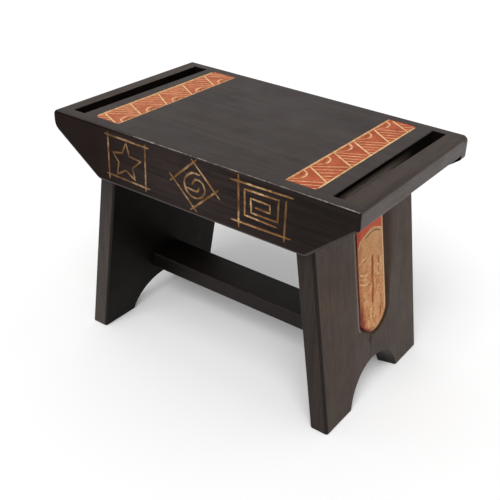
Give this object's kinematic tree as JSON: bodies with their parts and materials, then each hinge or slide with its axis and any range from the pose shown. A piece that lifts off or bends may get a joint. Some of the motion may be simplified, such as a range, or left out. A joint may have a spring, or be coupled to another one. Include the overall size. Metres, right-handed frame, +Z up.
{
  "type": "carved wooden stool",
  "caption": "Low dark-stained plank stool with a hand slot at each end of the seat, tapered aprons with cut motifs, painted bands and carved masks on splayed legs.",
  "frame": {"origin": "on the floor, below the middle of the seat", "axes": "+X along the seat's length, towards the end drawn on the right; +Y from the front apron to the rear apron; +Z up"},
  "size_m": [0.4, 0.24, 0.287],
  "materials": {
    "dark_stained_wood": "satin",
    "dowel_wood": "matte"
  },
  "bodies": {
    "root": {"seat_board": "dark_stained_wood", "left_handle_bar": "dark_stained_wood", "right_handle_bar": "dark_stained_wood", "front_apron": "dark_stained_wood", "rear_apron": "dark_stained_wood", "left_leg": "dark_stained_wood", "right_leg": "dark_stained_wood", "stretcher": "dark_stained_wood", "front_seat_dowel_left": "dowel_wood", "front_seat_dowel_middle": "dowel_wood", "front_seat_dowel_right": "dowel_wood", "front_handle_dowel_left": "dowel_wood", "front_leg_dowel_left_upper": "dowel_wood", "front_leg_dowel_left_lower": "dowel_wood", "front_handle_dowel_right": "dowel_wood", "front_leg_dowel_right_upper": "dowel_wood", "front_leg_dowel_right_lower": "dowel_wood", "rear_seat_dowel_left": "dowel_wood", "rear_seat_dowel_middle": "dowel_wood", "rear_seat_dowel_right": "dowel_wood", "rear_handle_dowel_left": "dowel_wood", "rear_leg_dowel_left_upper": "dowel_wood", "rear_leg_dowel_left_lower": "dowel_wood", "rear_handle_dowel_right": "dowel_wood", "rear_leg_dowel_right_upper": "dowel_wood", "rear_leg_dowel_right_lower": "dowel_wood", "left_leg_top_dowel_front": "dowel_wood", "left_leg_top_dowel_middle": "dowel_wood", "left_leg_top_dowel_rear": "dowel_wood", "right_leg_top_dowel_front": "dowel_wood", "right_leg_top_dowel_middle": "dowel_wood", "right_leg_top_dowel_rear": "dowel_wood"}
  },
  "joints": []
}
